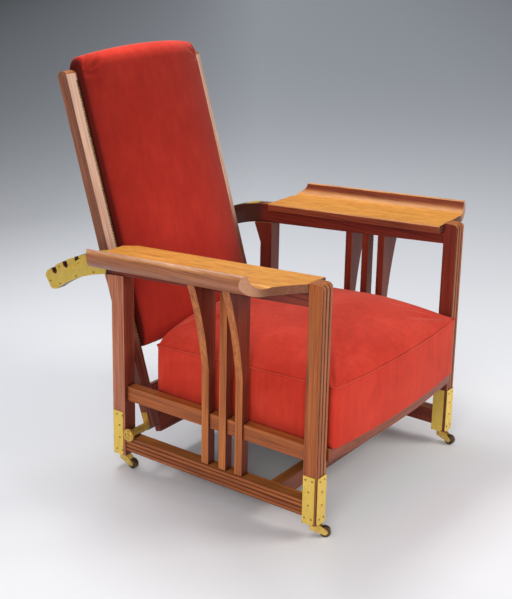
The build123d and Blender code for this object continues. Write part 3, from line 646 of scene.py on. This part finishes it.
def hump(distance, width, power=2.2, bluntness=0.5):
    """Rise from 0 at the edge to 1 at width, steep at first."""
    share = min(1.0, max(0.0, distance / width))
    return (1 - (1 - share) ** power) ** bluntness


# Seat cushion

def seat_point(u, v, w):
    """Map a unit box onto the boxed seat; its top face is the crown above the seam."""
    u = math.sin(u * math.pi / 2)
    v = 0.5 - 0.5 * math.cos(v * math.pi)
    half_x = cushion_half - cover_inset
    length = cushion_rear - cushion_front
    x, y = rounded_plan(u * half_x, (v - 0.5) * length, half_x, length / 2, cushion_corner)
    draw = seat_draw_in * (1 - (2 * v - 1) ** 2)
    x -= math.copysign(draw, x) * abs(u) ** 6
    bow = seat_bow * (1 - u * u) * (1 - smooth(0.0, 0.5, v))
    y += (cushion_front + cushion_rear) / 2 - bow
    seam = seam_front - seam_fall * (y - front) / (cushion_rear - front)
    low = seat_frame_top + cover_gap
    if w < 1:
        tuck = seat_tuck * (1 - math.sin(math.pi * w))
        x *= 1 - tuck / cushion_half
        return Vector((x, y, low + (seam - low) * w))
    inside = half_x - abs(u) * half_x
    side = hump(inside + crown_side_edge, crown_side_reach, 2.2, 0.46)
    ahead = v * length
    rearward = (1 - v) * length
    front_rise = hump(ahead, crown_front_edge)
    front_rise *= 0.38 + 0.62 * hump(ahead, crown_front_reach, 1.7, 1.0)
    rear_rise = hump(rearward, crown_rear_edge)
    rear_rise *= 0.80 + 0.20 * min(1.0, rearward / crown_rear_reach)
    crown = (cushion_crown - cover_inset) * side * hump(inside, crown_side_edge)
    return Vector((x, y, seam + crown * front_rise * rear_rise))


def keep_seat_in(point):
    """Hold the cover clear of the posts and rails."""
    limit = cushion_half - cover_gap
    foremost = cushion_front - seat_bow - 0.001
    return Vector((max(-limit, min(limit, point.x)), max(foremost, point.y),
                   max(seat_frame_top + frame_gap, point.z)))


seat_mesh, seat_index = grid_box(seat_counts, seat_point)
seat = new_object("seat_velvet", seat_mesh)
seat_sewn = [at for (i, j, k), at in seat_index.items()
             if k == 0 or (k == seat_counts[2] and (i in (0, seat_counts[0])
                                                    or j in (0, seat_counts[1])))]
swell(seat, seat_sewn, seat_cap, keep_seat_in)
seat.data.materials.append(velvet_seat)
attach(seat, "side_frames_and_seat")
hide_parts("seat_cushion")


def tube(bm, path, radius, sides):
    """Closed round tube along a closed path."""
    rings = []
    count = len(path)
    for number, here in enumerate(path):
        ahead = (path[(number + 1) % count] - path[number - 1]).normalized()
        side = ahead.cross(Vector((0, 0, 1))).normalized()
        up = side.cross(ahead)
        ring = []
        for step in range(sides):
            angle = 2 * math.pi * step / sides
            ring.append(bm.verts.new(here + radius * (math.cos(angle) * side
                                                      + math.sin(angle) * up)))
        rings.append(ring)
    for number in range(count):
        a = rings[number]
        b = rings[(number + 1) % count]
        for step in range(sides):
            after = (step + 1) % sides
            bm.faces.new([a[step], a[after], b[after], b[step]])


def seam_path():
    """Seam points round the seat, pushed out a little and slightly uneven."""
    nx, ny, nz = seat_counts
    keys = [(i, 0, nz) for i in range(nx)] + [(nx, j, nz) for j in range(ny)]
    keys += [(i, ny, nz) for i in range(nx, 0, -1)] + [(0, j, nz) for j in range(ny, 0, -1)]
    middle = Vector((0, (cushion_front + cushion_rear) / 2, 0))
    path = []
    for key in keys:
        point = seat.data.vertices[seat_index[key]].co.copy()
        if path and (path[-1] - point).length < piping_step:
            continue
        wave = noise.noise(point * 30.0) * piping_wave
        away = Vector((point.x - middle.x, point.y - middle.y, 0)).normalized()
        path.append(point + away * piping_out + Vector((0, 0, wave + piping_up)))
    return path


piping = mesh_object("seat_piping", lambda bm: tube(bm, seam_path(), piping_radius, 8))
piping.data.materials.append(velvet_piping)
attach(piping, "side_frames_and_seat")


# Back pad

def pad_point(u, v, w):
    """Map a unit box onto the back pad: u across, v front to rear, w bottom to top."""
    u = 0.55 * u + 0.45 * math.sin(u * math.pi / 2)
    half = stile_inner - pad_side_gap
    side = abs(u)
    boxed = pad_boxed + (1 - pad_boxed) * (1 - side ** 24) ** 0.5
    dome = pad_dome * (1 - side ** 2.2)
    if w < pad_roll_start:
        share = w / pad_roll_start
        ends = 0.30 + 0.70 * hump(share, 0.10)
        fill = 1 - 0.14 * smooth(0.45, 1.0, share)
        face = stile_front + (pad_edge * boxed + dome * fill) * ends
        along = pad_low + pad_gap + (stile_length - pad_low) * share
        return on_back(u * half, along, pad_rear + (face - pad_rear) * (1 - v))
    turn = (w - pad_roll_start) / (1 - pad_roll_start)
    arc = turn * math.pi / 2
    face = stile_front + pad_edge * boxed + dome * pad_roll_fill
    corner = max(0.0, (side * half - (half - pad_corner)) / pad_corner)
    rise = pad_roll_rise - pad_corner * (1 - math.sqrt(1 - min(1.0, corner) ** 2))
    rise += pad_roll_dome * (1 - side ** 2.2)
    back = pad_rear + (-back_rail_rear - pad_rear) * smooth(0.0, 0.25, turn)
    centre = face * 0.45 + back * 0.55
    ahead = (face - centre) * math.cos(arc) ** 0.7
    rearward = (centre - back) * math.cos(arc) ** 0.7
    proud = centre + ahead - (ahead + rearward) * v
    return on_back(u * half, stile_length + pad_gap + rise * math.sin(arc), proud)


def keep_pad_in(point):
    """Hold the cover between the stiles."""
    limit = stile_inner - pad_side_limit
    return Vector((max(-limit, min(limit, point.x)), point.y, point.z))


pad_mesh, pad_index = grid_box(pad_counts, pad_point)
pad = new_object("back_velvet", pad_mesh)
pad_sewn = [at for (i, j, k), at in pad_index.items() if j >= pad_counts[1] - 1 or k == 0]
swell(pad, pad_sewn, pad_cap, keep_pad_in)


def pleat(piece):
    """Press gathered folds into the pad's upper corners, fanning out from the stile's top."""
    for vertex in piece.data.vertices:
        local = vertex.co - pivot
        along = local.y * math.sin(lean) + local.z * math.cos(lean)
        proud = -local.y * math.cos(lean) + local.z * math.sin(lean)
        inside = stile_inner - abs(vertex.co.x)
        above = along - stile_length
        far = math.hypot(inside, above - pleat_high, (proud - pleat_proud) * 0.6)
        if far > pleat_reach or proud < 0.006:
            continue
        fan = math.atan2(above + 0.012, inside + 0.004)
        fade = (1 - smooth(pleat_start, pleat_reach, far)) * smooth(0.0, pleat_start, far)
        wave = 0.5 + 0.5 * math.cos(fan * pleat_rate)
        depth = pleat_depth * fade * wave * smooth(-0.4, 0.2, fan)
        vertex.co += on_back(0, 0, -depth) - pivot


pleat(pad)
pad.data.materials.append(velvet_back)
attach(pad, "back")
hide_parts("back_pad")


# Nails

def nails(bm):
    """Domed nail heads side by side down both edges of the pad."""
    count = int((stile_length - pad_low - nail_ends) / nail_pitch)
    angles = [2 * math.pi * step / nail_sides for step in range(nail_sides)]
    rings = ((1.0, 0.0), (0.86, 0.5), (0.5, 0.87))
    for side in (-1, 1):
        for number in range(count):
            x = side * (stile_inner + nail_radius + nail_play)
            along = pad_low + nail_end + number * nail_pitch
            made = []
            for share, rise in rings:
                reach = share * nail_radius
                proud = stile_front + nail_rest + nail_rise * rise
                made.append([bm.verts.new(on_back(x + reach * math.cos(a),
                                                  along + reach * math.sin(a), proud))
                             for a in angles])
            tip = bm.verts.new(on_back(x, along, stile_front + nail_rest + nail_rise))
            for low_ring, high_ring in zip(made, made[1:]):
                for step in range(nail_sides):
                    after = (step + 1) % nail_sides
                    bm.faces.new([low_ring[step], low_ring[after], high_ring[after],
                                  high_ring[step]])
            for step in range(nail_sides):
                bm.faces.new([made[-1][step], made[-1][(step + 1) % nail_sides], tip])


nail_rows = mesh_object("back_nail_heads", nails)
nail_rows.data.materials.append(brass_nail)
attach(nail_rows, "back")
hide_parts("back_nails")


# Stage, light and camera

floor_radius = 45.0
view_turn = math.radians(-54.357)
camera_tilt = math.radians(16.331)
camera_roll = math.radians(1.104)
camera_place = Vector((-2.348018, -1.270269 + front, 1.400717))
focal_pixels = 1196.623
photo_height = 599
sensor = 36.0


def stage_material(name, pale, dim):
    """Pale floor round the chair with painted shade: it grows darker far off, most of all to one
    side.
    """
    n = Nodes(name)
    where = n.add("ShaderNodeTexCoord")
    reach = n.add("ShaderNodeVectorMath", operation="LENGTH")
    n.join(where.outputs["Object"], reach.inputs[0])
    far = n.ranged(reach.outputs["Value"], 0.9, 2.4)
    sideways = n.ranged(n.along("Object", "X"), -3.4, 3.4)
    floor_shade = n.ramp(sideways, [(0.0, grey(0.82)), (0.27, grey(0.50)), (0.36, grey(0.36)),
                                (0.5, grey(0.02)), (0.73, grey(0.10)), (1.0, grey(0.30))])
    n.shade("Base Color", n.mix(pale, dim, n.math("MULTIPLY", far, floor_shade)))
    n.set(n.shader, Roughness=0.6)
    return n.material


def ground(bm):
    """Wide flat floor."""
    bmesh.ops.create_circle(bm, cap_ends=True, segments=96, radius=floor_radius)


floor = mesh_object("floor", ground)
floor.rotation_euler = (0, 0, view_turn)
floor.data.materials.append(stage_material("pale_floor", (0.86, 0.86, 0.87), (0.04, 0.04, 0.04)))

world = bpy.data.worlds.new("studio")
scene.world = world
world.use_nodes = True
tree = world.node_tree
sky = tree.nodes["Background"]
sky.inputs["Color"].default_value = (0.80, 0.86, 0.95, 1)
sky.inputs["Strength"].default_value = 0.42
seen = tree.nodes.new("ShaderNodeBackground")
seen.inputs["Color"].default_value = (0.17, 0.175, 0.185, 1)
ray = tree.nodes.new("ShaderNodeLightPath")
shiny = tree.nodes.new("ShaderNodeMath")
either = tree.nodes.new("ShaderNodeMath")
shiny.operation = either.operation = "MAXIMUM"
choose = tree.nodes.new("ShaderNodeMixShader")
for source, target in (
        (ray.outputs["Is Glossy Ray"], shiny.inputs[0]),
        (ray.outputs["Is Transmission Ray"], shiny.inputs[1]),
        (ray.outputs["Is Camera Ray"], either.inputs[0]),
        (shiny.outputs[0], either.inputs[1]),
        (either.outputs[0], choose.inputs[0]),
        (sky.outputs[0], choose.inputs[1]),
        (seen.outputs[0], choose.inputs[2]),
        (choose.outputs[0], tree.nodes["World Output"].inputs["Surface"])):
    tree.links.new(source, target)


def area_light(name, place, aim, size, power, colour):
    lamp = bpy.data.lights.new(name, "AREA")
    lamp.shape = "RECTANGLE"
    lamp.size, lamp.size_y = size
    lamp.energy = power
    lamp.color = colour
    piece = bpy.data.objects.new(name, lamp)
    scene.collection.objects.link(piece)
    piece.location = place
    direction = Vector(aim) - Vector(place)
    piece.rotation_euler = direction.to_track_quat("-Z", "Y").to_euler()


area_light("key_light", (1.5, -3.0, 2.5), (0, -0.1, 0.45), (1.5, 1.2), 61, (1.0, 0.97, 0.93))
area_light("fill_light", (-3.0, -1.6, 1.7), (0, -0.1, 0.4), (1.8, 1.4), 58, (1.0, 0.96, 0.92))
area_light("top_light", (0.3, 1.2, 2.9), (0, 0, 0.5), (1.5, 1.1), 46, (0.97, 0.98, 1.0))

camera_data = bpy.data.cameras.new("camera")
camera = bpy.data.objects.new("camera", camera_data)
scene.collection.objects.link(camera)
scene.camera = camera
camera_data.sensor_width = sensor
camera_data.lens = focal_pixels / photo_height * sensor
camera_data.shift_y = -0.1
camera_data.clip_end = 200.0
camera.matrix_world = (Matrix.Translation(camera_place) @ Matrix.Rotation(view_turn, 4, "Z")
                       @ Matrix.Rotation(math.radians(90) - camera_tilt, 4, "X")
                       @ Matrix.Rotation(camera_roll, 4, "Z"))

scene.view_settings.view_transform = "Standard"
bpy.context.view_layer.update()
